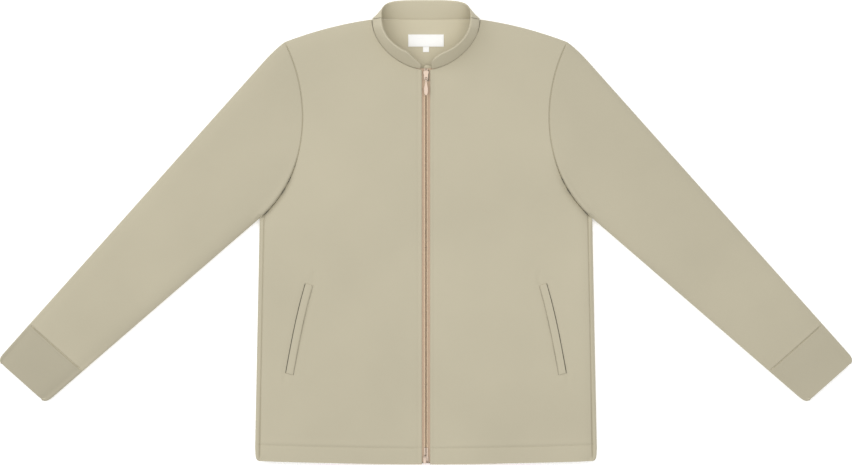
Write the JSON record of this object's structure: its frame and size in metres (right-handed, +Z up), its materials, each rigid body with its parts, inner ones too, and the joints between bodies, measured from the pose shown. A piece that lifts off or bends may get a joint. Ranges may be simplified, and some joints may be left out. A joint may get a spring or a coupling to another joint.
{
  "type": "jacket",
  "caption": "Plain light twill jacket with a low band collar, full-length zip, slanted welt pockets and plain cuffs, laid flat on its back with the sleeves spread.",
  "frame": {"origin": "under the middle of the jacket as it lies flat, on the surface that it lies on", "axes": "+X towards the wearer's left, +Y from the hem towards the collar, +Z up from the surface"},
  "size_m": [1.3554, 0.742, 0.0478],
  "materials": {
    "twill": "matt fine twill",
    "pocketing": "plain weave",
    "label_cloth": "white woven",
    "zip_tape": "woven tape",
    "zip_coil": "satin",
    "rose_metal": "polished rose gold"
  },
  "bodies": {
    "shell": {"back_panel": "twill", "back_neck_facing": "twill", "neck_label": "label_cloth", "left_front_side": "twill", "right_front_side": "twill", "left_sleeve_head": "twill", "right_sleeve_head": "twill", "back_collar": "twill", "back_collar_facing": "twill", "left_pocket_welt": "twill", "right_pocket_welt": "twill", "left_pocket_bag": "pocketing", "right_pocket_bag": "pocketing"},
    "right_front": {"right_front": "twill", "right_front_facing": "twill", "right_collar": "twill", "right_collar_facing": "twill", "right_zip_tape": "zip_tape", "right_zip_coil": "zip_coil", "right_top_stop": "rose_metal", "retainer_pin": "rose_metal", "retainer_box": "rose_metal"},
    "left_front": {"left_front": "twill", "left_front_facing": "twill", "left_collar": "twill", "left_collar_facing": "twill", "left_zip_tape": "zip_tape", "left_zip_coil": "zip_coil", "left_top_stop": "rose_metal", "insertion_pin": "rose_metal", "zip_guard": "twill"},
    "slider": {"slider_body": "rose_metal", "slider_bridge": "rose_metal"},
    "puller": {"pull_tab": "rose_metal"},
    "size_tab": {"size_tab": "label_cloth"},
    "right_sleeve": {"right_sleeve": "twill", "right_cuff": "twill", "right_cuff_facing": "twill"},
    "left_sleeve": {"left_sleeve": "twill", "left_cuff": "twill", "left_cuff_facing": "twill"}
  },
  "joints": [
    {"name": "right_front_fold", "type": "hinge", "parent": "shell", "child": "right_front", "pos_m": [-0.09, 0, 0.0186], "axis": [0, -1, 0], "range_deg": [0, 110]},
    {"name": "left_front_fold", "type": "hinge", "parent": "shell", "child": "left_front", "pos_m": [0.09, 0, 0.0186], "axis": [0, 1, 0], "range_deg": [0, 110]},
    {"name": "right_sleeve_fold", "type": "hinge", "parent": "shell", "child": "right_sleeve", "pos_m": [-0.266, 0, 0.0186], "axis": [0, -1, 0], "range_deg": [-175, 0]},
    {"name": "left_sleeve_fold", "type": "hinge", "parent": "shell", "child": "left_sleeve", "pos_m": [0.266, 0, 0.0186], "axis": [0, 1, 0], "range_deg": [-160, 0]},
    {"name": "zip_slide", "type": "slide", "parent": "right_front", "child": "slider", "axis": [0, -1, 0], "range_m": [0, 0.598]},
    {"name": "pull_swing", "type": "hinge", "parent": "slider", "child": "puller", "pos_m": [0, 0.2448, 0.0219], "axis": [-1, 0, 0], "range_deg": [0, 150]},
    {"name": "size_tab_lift", "type": "hinge", "parent": "shell", "child": "size_tab", "pos_m": [0, 0.2967, 0.00325], "axis": [-1, 0, 0], "range_deg": [0, 90]}
  ]
}
